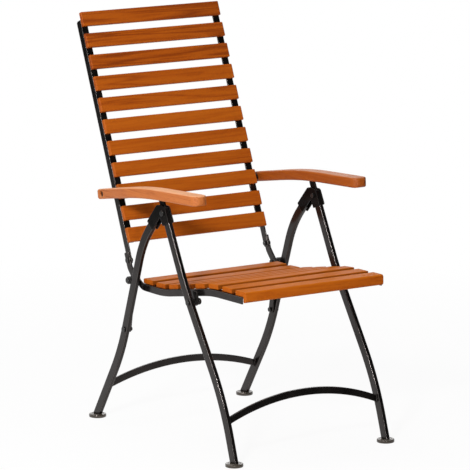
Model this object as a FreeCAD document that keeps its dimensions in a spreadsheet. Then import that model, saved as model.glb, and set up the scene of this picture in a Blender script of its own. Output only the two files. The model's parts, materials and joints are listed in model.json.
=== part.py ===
import FreeCAD, Part
import math
import os
import re
from types import SimpleNamespace

from FreeCAD import Placement, Rotation, Vector

# Folding armchair with wooden slats on a black steel frame, in millimetres.
# +Z is up, the sitter faces -Y, and the origin lies on the floor under the middle of the chair.
# Side views are drawn in (y, z), with y counted from midway between the front and rear feet.

SIZES = dict(
    # Whole chair
    box_middle=47.0,
    running_gap=0.05,
    side_gap=0.3,
    # Leg tubes
    leg_width=25.0,
    leg_thickness=12.0,
    leg_wall=1.5,
    leg_corner=2.5,
    # Hub, where the front legs turn on the rear legs
    hub_y=-12.0,
    hub_z=618.0,
    hub_wall=3.0,
    hub_crown=19.0,
    hub_corner=12.0,
    hub_crotch=6.0,
    hub_tip=3.0,
    hub_front_reach=31.0,
    hub_rear_reach=16.0,
    # Front leg
    front_top_reach=11.0,
    front_bend_ahead=97.0,
    front_bend_drop=189.0,
    front_bend_radius=900.0,
    front_flare_y=-290.0,
    front_flare_z=157.0,
    front_flare_radius=700.0,
    front_foot_y=-339.0,
    # Rear leg
    rear_top_back=53.0,
    rear_top_drop=31.0,
    rear_bend_back=109.4,
    rear_bend_drop=91.6,
    rear_bend_radius=275.0,
    rear_flare_y=209.5,
    rear_flare_z=206.0,
    rear_flare_radius=600.0,
    rear_foot_y=334.5,
    # Feet
    foot_radius=24.5,
    foot_height=9.0,
    foot_rim=6.0,
    foot_edge=2.0,
    foot_seat_radius=15.5,
    foot_sole_radius=20.5,
    foot_sole_rise=2.5,
    # Stretchers
    stretcher_height=19.0,
    stretcher_thickness=6.0,
    front_stretcher_z=112.5,
    front_stretcher_rise=48.0,
    rear_stretcher_z=102.5,
    rear_stretcher_rise=40.0,
    # Armrest lug on top of the front leg
    lug_thickness=5.0,
    lug_rise=48.0,
    lug_root=38.0,
    lug_tip=8.0,
    # Bolts
    bolt_radius=4.0,
    head_radius=7.5,
    head_height=3.5,
    nut_radius=6.0,
    nut_height=5.0,
    # Links
    link_pivot_z=270.0,
    link_width=18.0,
    link_thickness=5.5,
    link_gap=1.0,
    # Axle, behind the rear legs, with a knob that rests on each leg
    axle_z=409.0,
    knob_radius=10.4,
    # Seat rails, with heights counted from the lowest part of their top edge
    seat_pivot_drop=23.5,
    seat_rail_gap=1.0,
    seat_rail_wall=3.5,
    seat_rail_height=18.0,
    seat_flange=20.0,
    seat_flange_end=1.5,
    seat_tail_ahead=30.0,
    seat_tail_radius=40.0,
    seat_dip_y=30.0,
    seat_dip_drop=7.0,
    seat_rise_y=-200.0,
    seat_rise=41.0,
    seat_curve_radius=400.0,
    seat_front_y=-357.0,
    seat_front_rise=43.2,
    seat_lug_width=22.0,
    seat_lug_thickness=5.0,
    seat_lug_lap=5.0,
    seat_cap_radius=9.0,
    seat_cap_height=7.0,
    seat_cap_round=3.0,
    # Seat slats
    seat_slat_end_gap=0.5,
    seat_slat_width=45.0,
    seat_slat_thickness=13.0,
    seat_rear_gap=27.5,
    nose_width=48.0,
    nose_lip=12.0,
    nose_drop=15.0,
    nose_round=7.0,
    slat_edge=2.5,
    # Back
    back_lean=22.3,
    back_height=745.7,
    back_bottom=101.7,
    back_front=7.8,
    back_slat_half=223.0,
    back_slat_width=40.0,
    back_slat_thickness=12.0,
    back_rail_depth=20.0,
    back_rail_wall=3.5,
    back_rail_flange=20.0,
    back_rail_top_drop=20.0,
    back_rail_round=7.0,
    strap_gap=1.5,
    strap_thickness=5.0,
    strap_width=20.0,
    strap_bolt_height=56.4,
    strap_lap=22.0,
    strap_bend_height=38.0,
    strap_bend_radius=24.0,
    bush_wall=2.0,
    # Slat screws
    screw_radius=2.0,
    screw_head_radius=4.0,
    screw_head_height=2.0,
    screw_bite=9.0,
    screw_edge=5.5,
    # Armrests, placed from the tips of their lugs
    arm_pivot_rise=11.8,
    arm_thickness=27.5,
    arm_inset=10.0,
    arm_width=45.0,
    arm_rear_inset=6.0,
    arm_rear_width=28.0,
    arm_taper_length=158.5,
    arm_bend_back=50.1,
    arm_bend_rise=5.3,
    arm_bend_radius=1500.0,
    arm_front_ahead=216.9,
    arm_front_rise=18.5,
    arm_front_round=9.0,
    arm_corner=20.0,
    arm_rear_reach=26.0,
    arm_rear_round=10.0,
    arm_edge=5.0,
    arm_bore_depth=8.0,
    arm_bore_gap=1.0,
    # Notched rack in the underside of the armrest
    rack_wall=3.0,
    rack_depth=14.5,
    rack_web=2.5,
    rack_rear_back=30.1,
    rack_length=152.0,
    rack_notch_ahead=2.9,
    rack_notch_pitch=22.5,
    rack_notch_radius=4.0,
)
BACK_SLATS = 11
SEAT_SLATS = 8
RACK_NOTCHES = 5
ARM_SPANS = 14
PIVOT_ROUNDS = 12
# Where an armrest's rounded ends are cut into sections, as shares of the rounding's length
END_SHARES = (0.02, 0.1, 0.25, 0.55, 1.0)
# The most of a section's half height that its rounded edges take up
EDGE_SHARE = 0.9
# The sitter's right is -X.
SIDES = {"right": -1, "left": 1}

doc = FreeCAD.newDocument("folding_armchair")
sheet = doc.addObject("Spreadsheet::Sheet", "sizes")
sub_parts = []


def store(sizes, first_row):
    """Write named sizes to the sheet."""
    for row, (name, value) in enumerate(sizes.items(), start=first_row):
        sheet.set("A%d" % row, name)
        sheet.set("B%d" % row, str(value))
        sheet.setAlias("B%d" % row, name)
    doc.recompute()


store(SIZES, 1)
s = SimpleNamespace(**{name: float(sheet.get(name)) for name in SIZES})

# Places across the chair, stacked outward from the ends of the back slats
seat_rail_outer = s.back_slat_half - s.seat_rail_gap
seat_slat_half = seat_rail_outer - s.seat_rail_wall - s.seat_slat_end_gap
strap_outer = s.back_slat_half + s.strap_thickness
link_inner = strap_outer + s.strap_gap
leg_inner = link_inner + s.link_thickness + s.link_gap
leg_outer = leg_inner + s.leg_thickness
leg_plane = (leg_inner + leg_outer) / 2
store(dict(
    seat_rail_outer=seat_rail_outer,
    seat_slat_half=seat_slat_half,
    link_inner=link_inner,
    leg_inner=leg_inner,
    leg_plane=leg_plane,
), len(SIZES) + 1)


def bound(text):
    """An expression on the sheet's cells, from one on their names."""
    return re.sub(r"[a-z][a-z_]*", lambda word: "sizes." + word.group(), text)


# Plane geometry: points are (first, second, corner radius)

def unit(vector):
    return Vector(vector).normalize()


def left_of(vector):
    return Vector(-vector.y, vector.x, 0)


def flat(point):
    return Vector(point[0], point[1], 0)


def meet(point, along, other, other_along):
    """The crossing of two lines."""
    across = left_of(other_along)
    reach = (other - point).dot(across) / along.dot(across)
    return point + along * reach


def corner_arc(before, at, after, radius):
    """Start, middle and end of the arc that rounds a corner."""
    back = unit(before - at)
    ahead = unit(after - at)
    half = back.getAngle(ahead) / 2
    reach = radius / math.tan(half)
    centre = at + unit(back + ahead) * (radius / math.sin(half))
    return at + back * reach, centre + unit(at - centre) * radius, at + ahead * reach


def curves(points, closed):
    """Lines and tangent arcs through a list of points."""
    count = len(points)
    stops = []
    for index, point in enumerate(points):
        at = flat(point)
        inner = closed or 0 < index < count - 1
        if inner and point[2] > 0:
            before = flat(points[index - 1])
            after = flat(points[(index + 1) % count])
            stops.append(corner_arc(before, at, after, point[2]))
        else:
            stops.append((at, None, at))
    result = []
    for index, (start, middle, end) in enumerate(stops):
        if middle:
            result.append(Part.Arc(start, middle, end))
        if closed or index < count - 1:
            following = stops[(index + 1) % count][0]
            if end.distanceToPoint(following) > 1e-6:
                result.append(Part.LineSegment(end, following))
    return result


def outline(points):
    return curves(points, True)


def hole(centre, radius):
    return [Part.Circle(flat(centre), Vector(0, 0, 1), radius)]


def beside(points, shift):
    """A path's points, moved to the left of its travel."""
    ahead = [unit(flat(b) - flat(a)) for a, b in zip(points, points[1:])]
    result = []
    for index, point in enumerate(points):
        before = ahead[max(index - 1, 0)]
        after = ahead[min(index, len(ahead) - 1)]
        normal = left_of(before) + left_of(after)
        moved = flat(point) + normal * (shift / (1 + left_of(before).dot(left_of(after))))
        turn = math.copysign(1, before.cross(after).z)
        radius = point[2] - turn * shift if point[2] > 0 else 0
        result.append((moved.x, moved.y, radius))
    return result


def band(points, low, high, start_round=0, end_round=0, end_z=None):
    """The closed strip between two offsets of a path, with its ends rounded or cut level."""
    sides = []
    for shift in (high, low):
        strip = beside(points, shift)
        first = strip[0]
        last = strip[-1]
        if end_z is not None:
            ahead = unit(flat(points[-1]) - flat(points[-2]))
            end = flat(last) + ahead * ((end_z - last[1]) / ahead.y)
            last = (end.x, end.y, 0)
        strip[0] = (first[0], first[1], start_round)
        strip[-1] = (last[0], last[1], end_round)
        sides.append(strip)
    return outline(sides[0] + sides[1][::-1])


def on_path(points, axis, value):
    """The place and direction of travel where a path reaches a coordinate."""
    for curve in curves(points, False):
        edge = curve.toShape()
        low, high = edge.ParameterRange
        rising = edge.valueAt(high)[axis] > edge.valueAt(low)[axis]
        ends = sorted((edge.valueAt(low)[axis], edge.valueAt(high)[axis]))
        if ends[0] <= value <= ends[1]:
            for _ in range(60):
                middle = (low + high) / 2
                if (edge.valueAt(middle)[axis] < value) == rising:
                    low = middle
                else:
                    high = middle
            return edge.valueAt(low), unit(edge.tangentAt(low))
    raise ValueError("the path doesn't reach %.1f" % value)


# Solids

def draw(body, loops, start, role):
    sketch = body.newObject("Sketcher::SketchObject", body.Name + "_sketch")
    plane = next(item for item in body.Origin.OriginFeatures if item.Role == role)
    sketch.AttachmentSupport = (plane, [""])
    sketch.MapMode = "FlatFace"
    for loop in loops:
        sketch.addGeometry(loop, False)
    if start:
        sketch.setExpression("AttachmentOffset.Base.z", bound(start))
    return sketch


def pad(body, loops, length, start="", role="YZ_Plane"):
    feature = body.newObject("PartDesign::Pad", body.Name + "_pad")
    feature.Profile = draw(body, loops, start, role)
    feature.setExpression("Length", bound(length))
    return feature


def pocket(body, loops, length, start="", role="YZ_Plane"):
    feature = body.newObject("PartDesign::Pocket", body.Name + "_pocket")
    feature.Profile = draw(body, loops, start, role)
    feature.Reversed = True
    feature.setExpression("Length", bound(length))
    return feature


def round_edges(body, feature, radius, wanted):
    """Fillet the edges of a feature that a test picks."""
    doc.recompute()
    names = ["Edge%d" % (number + 1) for number, edge in enumerate(feature.Shape.Edges) if wanted(edge)]
    fillet = body.newObject("PartDesign::Fillet", body.Name + "_fillet")
    fillet.Base = (feature, names)
    fillet.setExpression("Radius", bound(radius))
    return fillet


def along_plate(edge):
    """True for an outline edge in one of a plate's two faces, but not for a hole."""
    return edge.BoundBox.XLength < 1e-6 and len(edge.Vertexes) == 2


def finish(shape_object, label):
    shape_object.Label = label
    sub_parts.append(shape_object)
    return shape_object


def set_side(body, inner, depth, side, frame):
    """Put a plate at its place, with its near face a given way out from the middle plane."""
    body.Placement = frame
    text = inner if side > 0 else "-(%s) - (%s)" % (inner, depth)
    body.setExpression("Placement.Base.x", bound(text))


def plate(name, loops, inner, depth, side, frame):
    """A flat piece cut to a side-view outline."""
    body = doc.addObject("PartDesign::Body", name)
    pad(body, loops, depth)
    set_side(body, inner, depth, side, frame)
    return body


def turned(side, frame, centre, steps):
    """A solid turned about a line across the chair, from steps of (inner, outer, radius)."""
    solids = []
    for inner, outer, radius in steps:
        start = Vector(inner if side > 0 else -outer, centre[0], centre[1])
        solids.append(Part.makeCylinder(radius, outer - inner, start, Vector(1, 0, 0)))
    solid = solids[0].fuse(solids[1:]).removeSplitter() if len(solids) > 1 else solids[0]
    solid.Placement = frame.multiply(solid.Placement)
    return solid


def group(label, solids):
    """Like pieces that share one node."""
    feature = doc.addObject("Part::Feature", label)
    feature.Shape = Part.makeCompound(solids) if len(solids) > 1 else solids[0]
    return finish(feature, label)


def drilled(label, base, drills):
    """A piece with holes or grooves cut by tool solids."""
    tool = doc.addObject("Part::Feature", label + "_tool")
    tool.Shape = Part.makeCompound(drills)
    cut = doc.addObject("Part::Cut", label)
    cut.Base = base
    cut.Tool = tool
    return finish(cut, label)


# Paths and pivots
floor_frame = Placement(Vector(0, -s.box_middle, 0), Rotation())
leg_half = s.leg_width / 2
hole_radius = s.bolt_radius + s.running_gap

hub = Vector(s.hub_y, s.hub_z, 0)
front_bend = hub - Vector(s.front_bend_ahead, s.front_bend_drop, 0)
front_down = unit(front_bend - hub)
front_top = hub - front_down * s.front_top_reach
front_path = [
    (front_top.x, front_top.y, 0),
    (front_bend.x, front_bend.y, s.front_bend_radius),
    (s.front_flare_y, s.front_flare_z, s.front_flare_radius),
    (s.front_foot_y, s.foot_height, 0),
]
rear_top = hub + Vector(s.rear_top_back, -s.rear_top_drop, 0)
rear_bend = hub + Vector(s.rear_bend_back, -s.rear_bend_drop, 0)
rear_down = unit(rear_bend - rear_top)
rear_path = [
    (rear_top.x, rear_top.y, 0),
    (rear_bend.x, rear_bend.y, s.rear_bend_radius),
    (s.rear_flare_y, s.rear_flare_z, s.rear_flare_radius),
    (s.rear_foot_y, s.foot_height, 0),
]
link_pivot = on_path(rear_path, 1, s.link_pivot_z)[0]
beside_axle, rear_leg_down = on_path(rear_path, 1, s.axle_z)
axle_offset = leg_half + s.side_gap + s.knob_radius
axle = beside_axle + Vector(axle_offset / -rear_leg_down.y, 0, 0)

# The seat rail's middle line runs forward from the axle, so its top edge is on its right.
rail_half = s.seat_rail_height / 2
seat_dip_z = axle.y - s.seat_dip_drop
rail_z = seat_dip_z - rail_half
seat_tail = Vector(axle.x - s.seat_tail_ahead, rail_z, 0)
seat_eye = axle + unit(axle - seat_tail) * rail_half
seat_path = [
    (seat_eye.x, seat_eye.y, 0),
    (seat_tail.x, seat_tail.y, s.seat_tail_radius),
    (s.seat_dip_y, rail_z, s.seat_curve_radius),
    (s.seat_rise_y, rail_z + s.seat_rise, s.seat_curve_radius),
    (s.seat_front_y + s.nose_lip + s.side_gap, rail_z + s.seat_front_rise, 0),
]
seat_top_path = beside(seat_path, -rail_half)
# The seat pivot lies on the front leg's line, under the rail: each round comes closer to both.
seat_pivot = front_bend
for _ in range(PIVOT_ROUNDS):
    under_rail = on_path(seat_path, 0, seat_pivot.x)[0].y - s.seat_pivot_drop
    seat_pivot = on_path(front_path, 1, under_rail)[0]
back_frame = Placement(
    Vector(0, axle.x - s.box_middle, axle.y), Rotation(Vector(1, 0, 0), -s.back_lean))
# The back's own side view has the axle at (0, 0), its second axis up the back.
slat_back = s.back_slat_thickness - s.back_front
rail_middle = slat_back + s.back_rail_depth / 2
lean = math.radians(s.back_lean)
arm_pivot_z = hub.y + s.arm_pivot_rise
arm_pivot_height = (arm_pivot_z - axle.y + rail_middle * math.sin(lean)) / math.cos(lean)
arm_pivot_y = axle.x + rail_middle * math.cos(lean) + arm_pivot_height * math.sin(lean)
arm_pivot = (rail_middle, arm_pivot_height)
strap_bolt = (rail_middle, s.strap_bolt_height)


# Legs: bent flat-oval tube, cut level on the feet

def leg(label, path, side, pivots):
    body = doc.addObject("PartDesign::Body", label)
    loops = [band(path, -leg_half, leg_half, end_z=s.foot_height)]
    loops += [hole(pivot, hole_radius) for pivot in pivots]
    outside = pad(body, loops, "leg_thickness")
    round_edges(body, outside, "leg_corner", along_plate)
    inside_half = leg_half - s.leg_wall
    below = s.foot_height - s.leg_wall
    inside = band(path, -inside_half, inside_half, end_z=below)
    pocket(body, [inside], "leg_thickness - 2 * leg_wall", "leg_wall")
    set_side(body, "leg_inner", "leg_thickness", side, floor_frame)
    return finish(body, label)


for word, side in SIDES.items():
    leg("front_leg_" + word, front_path, side, [hub, seat_pivot])
    leg("rear_leg_" + word, rear_path, side, [link_pivot])


# Stretchers: flat bars bent to an arch and welded between the legs

def stretcher(label, path, height, rise):
    half = s.stretcher_height / 2
    corners = []
    for shift in (-half, half):
        ends = [Vector(end * leg_inner, height + shift, 0) for end in (-1, 1)]
        corners.append((ends[0], Vector(0, height + rise + shift, 0), ends[1]))
    lower, upper = corners
    arch = [
        Part.Arc(*lower),
        Part.LineSegment(lower[2], upper[2]),
        Part.Arc(upper[2], upper[1], upper[0]),
        Part.LineSegment(upper[0], lower[0]),
    ]
    body = doc.addObject("PartDesign::Body", label)
    pad(body, [arch], "stretcher_thickness", role="XZ_Plane")
    place = on_path(path, 1, height)[0].x - s.box_middle + s.stretcher_thickness / 2
    body.Placement = Placement(Vector(0, place, 0), Rotation())
    return finish(body, label)


stretcher("front_stretcher", front_path, s.front_stretcher_z, s.front_stretcher_rise)
stretcher("rear_stretcher", rear_path, s.rear_stretcher_z, s.rear_stretcher_rise)


# Feet: round glides with a domed top, under the level cut of each leg

def foot(label, path, side):
    profile = outline([
        (0, 0, 0),
        (s.foot_sole_radius, 0, 0),
        (s.foot_radius, s.foot_sole_rise, 0),
        (s.foot_radius, s.foot_rim, s.foot_edge),
        (s.foot_seat_radius, s.foot_height, 0),
        (0, s.foot_height, 0),
    ])
    body = doc.addObject("PartDesign::Body", label)
    spin = body.newObject("PartDesign::Revolution", label + "_spin")
    sketch = draw(body, [profile], "", "XZ_Plane")
    spin.Profile = sketch
    spin.ReferenceAxis = (sketch, ["V_Axis"])
    body.Placement = Placement(Vector(side * leg_plane, path[-1][0] - s.box_middle, 0), Rotation())
    return finish(body, label)


for word, side in SIDES.items():
    foot("front_foot_" + word, front_path, side)
    foot("rear_foot_" + word, rear_path, side)

# Hub brackets: pressed saddles over the rear legs' tops, whose cheeks carry the front legs
shell_half = leg_half + s.hub_wall
front_out = left_of(front_down) * -1
rear_out = left_of(rear_down)
hub_top = Vector(0, hub.y + s.hub_crown, 0)
level = Vector(1, 0, 0)
front_end = hub + front_down * s.hub_front_reach
rear_end = rear_top + rear_down * s.hub_rear_reach
hub_corners = [
    (front_end + front_out * shell_half, s.hub_tip),
    (meet(hub + front_out * shell_half, front_down, hub_top, level), s.hub_corner),
    (meet(rear_top + rear_out * shell_half, rear_down, hub_top, level), s.hub_corner),
    (rear_end + rear_out * shell_half, s.hub_tip),
    (rear_end - rear_out * shell_half, s.hub_tip),
    (meet(rear_top - rear_out * shell_half, rear_down,
          hub - front_out * shell_half, front_down), s.hub_crotch),
    (front_end - front_out * shell_half, s.hub_tip),
]
hub_outline = outline([(at.x, at.y, radius) for at, radius in hub_corners])
hub_inner = "leg_inner - side_gap - hub_wall"
hub_depth = "leg_thickness + 2 * side_gap + 2 * hub_wall"
hub_reach = s.lug_rise + s.hub_front_reach + s.hub_rear_reach + s.rear_top_back
saddle = rear_top + rear_out * leg_half
room = outline([
    tuple(saddle - rear_down * hub_reach),
    tuple(saddle + rear_down * hub_reach),
    tuple(saddle + rear_down * hub_reach - rear_out * 2 * hub_reach),
    tuple(saddle - rear_down * hub_reach - rear_out * 2 * hub_reach),
])
for word, side in SIDES.items():
    bracket = plate("hub_bracket_" + word, [hub_outline, hole(hub, hole_radius)],
                    hub_inner, hub_depth, side, floor_frame)
    pocket(bracket, [room], "leg_thickness + 2 * side_gap", "hub_wall")
    finish(bracket, "hub_bracket_" + word)

# Armrest lugs: flat bar let into the front legs' tops, reaching up into the armrests
lug_half = leg_half - s.leg_wall - s.side_gap
lug_foot = hub + front_down * s.lug_root
lug_top = hub - front_down * s.lug_rise
lug_outline = band([tuple(lug_foot), tuple(lug_top)], -lug_half, lug_half, end_round=s.lug_tip)
for word, side in SIDES.items():
    lug = plate("arm_lug_" + word, [lug_outline, hole(hub, hole_radius)],
                "leg_plane - lug_thickness / 2", "lug_thickness", side, floor_frame)
    finish(lug, "arm_lug_" + word)

# Links: short flat bars between the rear legs and the axle
link_along = unit(axle - link_pivot)
link_ends = [link_pivot - link_along * (s.link_width / 2), axle + link_along * (s.link_width / 2)]
link_outline = band([tuple(end) for end in link_ends], -s.link_width / 2, s.link_width / 2,
                    start_round=s.link_width / 2, end_round=s.link_width / 2)
for word, side in SIDES.items():
    link = plate("link_" + word, [link_outline, hole(link_pivot, hole_radius), hole(axle, hole_radius)],
                 "link_inner", "link_thickness", side, floor_frame)
    finish(link, "link_" + word)

# Seat rails: bent angle bars, upright outside and with a flange under the slats

def rail_frame(y):
    """The place on top of the seat rail at a distance from front to rear, turned to its slope."""
    at, along = on_path(seat_top_path, 0, y)
    slope = math.degrees(math.atan2(-along.y, -along.x))
    return Placement(Vector(0, at.x - s.box_middle, at.y), Rotation(Vector(1, 0, 0), slope))


seat_rear_y = axle.x - s.seat_rear_gap
flange_top = [(seat_rear_y + s.seat_flange_end, seat_dip_z, 0)] + seat_top_path[2:]
flange_outline = band(flange_top, 0, s.seat_rail_wall)
upright_outline = band(seat_path, -rail_half, rail_half, start_round=rail_half)


def angle_rail(name, upright, flange, wall, width, outer, side, frame):
    """An angle bar: a flange that reaches inward from an upright on the outer side."""
    body = doc.addObject("PartDesign::Body", name)
    pad(body, [flange], width)
    pad(body, upright, wall, "%s - %s" % (width, wall) if side > 0 else "")
    set_side(body, "%s - %s" % (outer, width), width, side, frame)
    return body


# Slats: planed boards with eased edges, screwed on from behind through the rails' flanges

def bar(frame, x, y, low, high, radius):
    """A round bar square to a flange, in the flange's own frame."""
    solid = Part.makeCylinder(radius, high - low, Vector(x, y, low), Vector(0, 0, 1))
    solid.Placement = frame.multiply(solid.Placement)
    return solid


def screw(frame, x, y, wall, bite):
    head = bar(frame, x, y, -wall - s.screw_head_height, -wall, s.screw_head_radius)
    return head.fuse(bar(frame, x, y, -wall, bite, s.screw_radius)).removeSplitter()


def drill(frame, x, y, wall, bite):
    radius = s.screw_radius + s.running_gap
    return bar(frame, x, y, -wall - s.screw_radius, bite + s.running_gap, radius)


def board(name, half, width, thickness):
    wide = getattr(s, width) / 2
    rectangle = outline([(-half, -wide, 0), (half, -wide, 0), (half, wide, 0), (-half, wide, 0)])
    body = doc.addObject("PartDesign::Body", name)
    blank = pad(body, [rectangle], thickness, role="XY_Plane")
    round_edges(body, blank, "slat_edge", lambda edge: True)
    return body


def nose_board(name):
    """The front slat, with a lip that hides the rails' ends."""
    half = s.nose_width / 2
    top = s.seat_slat_thickness
    profile = outline([
        (-half, top, s.nose_round),
        (-half, -s.nose_drop, s.nose_round),
        (s.nose_lip - half, -s.nose_drop, s.slat_edge),
        (s.nose_lip - half, 0, 0),
        (half, 0, s.slat_edge),
        (half, top, s.slat_edge),
    ])
    body = doc.addObject("PartDesign::Body", name)
    pad(body, [profile], "2 * seat_slat_half", "-seat_slat_half")
    return body


# Seat slats, from the nose to the rear
seat_screws = []
seat_drills = {-1: [], 1: []}
seat_screw_x = seat_rail_outer - s.seat_flange + s.screw_edge
# A flat slat is lifted by the height of the rail's hollow under it.
seat_slat_lift = s.seat_slat_width ** 2 / 8 / (s.seat_curve_radius - rail_half) + s.running_gap
seat_bite = seat_slat_lift + s.screw_bite
nose_middle = s.seat_front_y + s.nose_width / 2
first_middle = s.seat_front_y + s.nose_width - s.seat_slat_width / 2
seat_slat_pitch = (seat_rear_y - s.seat_slat_width / 2 - first_middle) / (SEAT_SLATS - 1)
for number in range(SEAT_SLATS):
    label = "seat_slat_%d" % (number + 1)
    if number == 0:
        blank = nose_board(label + "_blank")
        frame = rail_frame(nose_middle)
        along = s.nose_lip / 2
    else:
        blank = board(label + "_blank", seat_slat_half, "seat_slat_width", "seat_slat_thickness")
        frame = rail_frame(first_middle + number * seat_slat_pitch)
        along = 0
    blank.Placement = frame.multiply(Placement(Vector(0, 0, seat_slat_lift), Rotation()))
    holes = []
    for side in SIDES.values():
        spot = (frame, side * seat_screw_x, along, s.seat_rail_wall, seat_bite)
        seat_screws.append(screw(*spot))
        seat_drills[side].append(drill(*spot))
        holes.append(drill(*spot))
    drilled(label, blank, holes)
group("seat_screws", seat_screws)
for word, side in SIDES.items():
    upright = [upright_outline, hole(axle, hole_radius)]
    rail = angle_rail("seat_rail_%s_bar" % word, upright, flange_outline,
                      "seat_rail_wall", "seat_flange", "seat_rail_outer", side, floor_frame)
    drilled("seat_rail_" + word, rail, seat_drills[side])

# Seat lugs: tabs welded under the seat rails, with a capped boss at the front leg's pivot
tab_half = s.seat_lug_width / 2
lug_lap_z = on_path(seat_path, 0, seat_pivot.x)[0].y + s.seat_lug_lap
tab = outline([
    (seat_pivot.x - tab_half, seat_pivot.y - tab_half, tab_half),
    (seat_pivot.x + tab_half, seat_pivot.y - tab_half, tab_half),
    (seat_pivot.x + tab_half, lug_lap_z, s.hub_tip),
    (seat_pivot.x - tab_half, lug_lap_z, s.hub_tip),
])
lug_depth = "seat_cap_height + nut_height + seat_lug_thickness"
for word, side in SIDES.items():
    lug = doc.addObject("PartDesign::Body", "seat_lug_" + word)
    pad(lug, [tab], "seat_lug_thickness", "seat_cap_height + nut_height" if side > 0 else "")
    pad(lug, [hole(seat_pivot, s.nut_radius)], lug_depth)
    cap = pad(lug, [hole(seat_pivot, s.seat_cap_radius)], "seat_cap_height",
              "" if side > 0 else "nut_height + seat_lug_thickness")
    cap_end = 0 if side > 0 else s.seat_cap_height + s.nut_height + s.seat_lug_thickness
    round_edges(lug, cap, "seat_cap_round", lambda edge: (
        edge.BoundBox.XLength < 0.01 and abs(edge.BoundBox.XMin - cap_end) < 0.01))
    set_side(lug, "seat_rail_outer - nut_height - seat_cap_height", lug_depth, side, floor_frame)
    finish(lug, "seat_lug_" + word)

# Back rails, slats and the straps that hang them on the axle
back_screws = []
back_drills = {-1: [], 1: []}
back_screw_x = s.back_slat_half - s.back_rail_flange + s.screw_edge
back_slat_pitch = (s.back_height - s.back_bottom - s.back_slat_width) / (BACK_SLATS - 1)
for number in range(BACK_SLATS):
    label = "back_slat_%d" % (number + 1)
    blank = board(label + "_blank", s.back_slat_half, "back_slat_width", "back_slat_thickness")
    middle = s.back_height - number * back_slat_pitch - s.back_slat_width / 2
    stand = Placement(Vector(0, slat_back, middle), Rotation(Vector(1, 0, 0), 90))
    frame = back_frame.multiply(stand)
    blank.Placement = frame
    holes = []
    for side in SIDES.values():
        spot = (frame, side * back_screw_x, 0, s.back_rail_wall, s.screw_bite)
        back_screws.append(screw(*spot))
        back_drills[side].append(drill(*spot))
        holes.append(drill(*spot))
    drilled(label, blank, holes)
group("back_screws", back_screws)

rail_top = s.back_height - s.back_rail_top_drop
rail_bottom = s.strap_bolt_height - s.strap_width / 2
rail_rear = slat_back + s.back_rail_depth
back_upright = outline([
    (slat_back, rail_bottom, s.slat_edge),
    (rail_rear, rail_bottom, s.back_rail_round),
    (rail_rear, rail_top, s.back_rail_round),
    (slat_back, rail_top, s.slat_edge),
])
back_flange = outline([
    (slat_back, s.back_bottom, 0),
    (slat_back + s.back_rail_wall, s.back_bottom, 0),
    (slat_back + s.back_rail_wall, rail_top, 0),
    (slat_back, rail_top, 0),
])
strap_half = s.strap_width / 2
strap_bend = Vector(rail_middle, s.strap_bend_height, 0)
strap_end = unit(strap_bend) * -strap_half
strap_outline = band(
    [(rail_middle, s.strap_bolt_height + s.strap_lap, 0),
     (strap_bend.x, strap_bend.y, s.strap_bend_radius),
     (strap_end.x, strap_end.y, 0)],
    -strap_half, strap_half, s.slat_edge, strap_half)
bush_radius = hole_radius + s.bush_wall
bush_hole = bush_radius + s.running_gap
for word, side in SIDES.items():
    upright = [back_upright, hole(arm_pivot, hole_radius), hole(strap_bolt, hole_radius)]
    rail = angle_rail("back_rail_%s_bar" % word, upright, back_flange,
                      "back_rail_wall", "back_rail_flange", "back_slat_half", side, back_frame)
    drilled("back_rail_" + word, rail, back_drills[side])
    strap = plate("back_strap_" + word,
                  [strap_outline, hole((0, 0), bush_hole), hole(strap_bolt, hole_radius)],
                  "back_slat_half", "strap_thickness", side, back_frame)
    finish(strap, "back_strap_" + word)

# Armrests: bent boards that taper to the rear, turning on a bush at the back rails
arm_half = s.arm_thickness / 2
arm_joint = Vector(arm_pivot_y, arm_pivot_z, 0)
arm_bend = lug_top + Vector(s.arm_bend_back, s.arm_bend_rise, 0)
arm_front = lug_top + Vector(-s.arm_front_ahead, s.arm_front_rise, 0)
arm_rear = arm_joint + unit(arm_joint - arm_bend) * s.arm_rear_reach
arm_path = [
    (arm_rear.x, arm_rear.y, 0),
    (arm_bend.x, arm_bend.y, s.arm_bend_radius),
    (arm_front.x, arm_front.y, 0),
]
arm_inner = leg_plane - s.arm_inset
arm_outer = arm_inner + s.arm_width
arm_rear_inner = arm_inner + s.arm_rear_inset
arm_rear_outer = arm_rear_inner + s.arm_rear_width
arm_bore_floor = arm_rear_outer - s.arm_bore_depth
lug_room = s.lug_thickness / 2 + s.side_gap
rack_inner = leg_plane - lug_room - s.rack_wall
rack_outer = leg_plane + lug_room + s.rack_wall
rack_top = arm_half - s.rack_depth


def prism(loop, inner, outer, side, frame):
    """A side-view outline as a solid between two distances from the middle plane."""
    face = Part.Face(Part.Wire([curve.toShape() for curve in loop]))
    turn = Placement(Vector(inner if side > 0 else -outer, 0, 0), Rotation(Vector(1, 1, 1), 120))
    solid = face.extrude(Vector(0, 0, outer - inner))
    solid.Placement = frame.multiply(turn)
    return solid


def rack_span(low, high, inner, outer, side):
    """A strip of the armrest's underside, over the length of the rack."""
    strip = prism(band(arm_path, low, high), inner, outer, side, floor_frame)
    reach = arm_outer
    rear = lug_top.x + s.rack_rear_back
    corner = Vector(-reach, rear - s.rack_length - s.box_middle, 0)
    window = Part.makeBox(2 * reach, s.rack_length, 2 * arm_front.y, corner)
    return strip.common(window)


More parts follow.
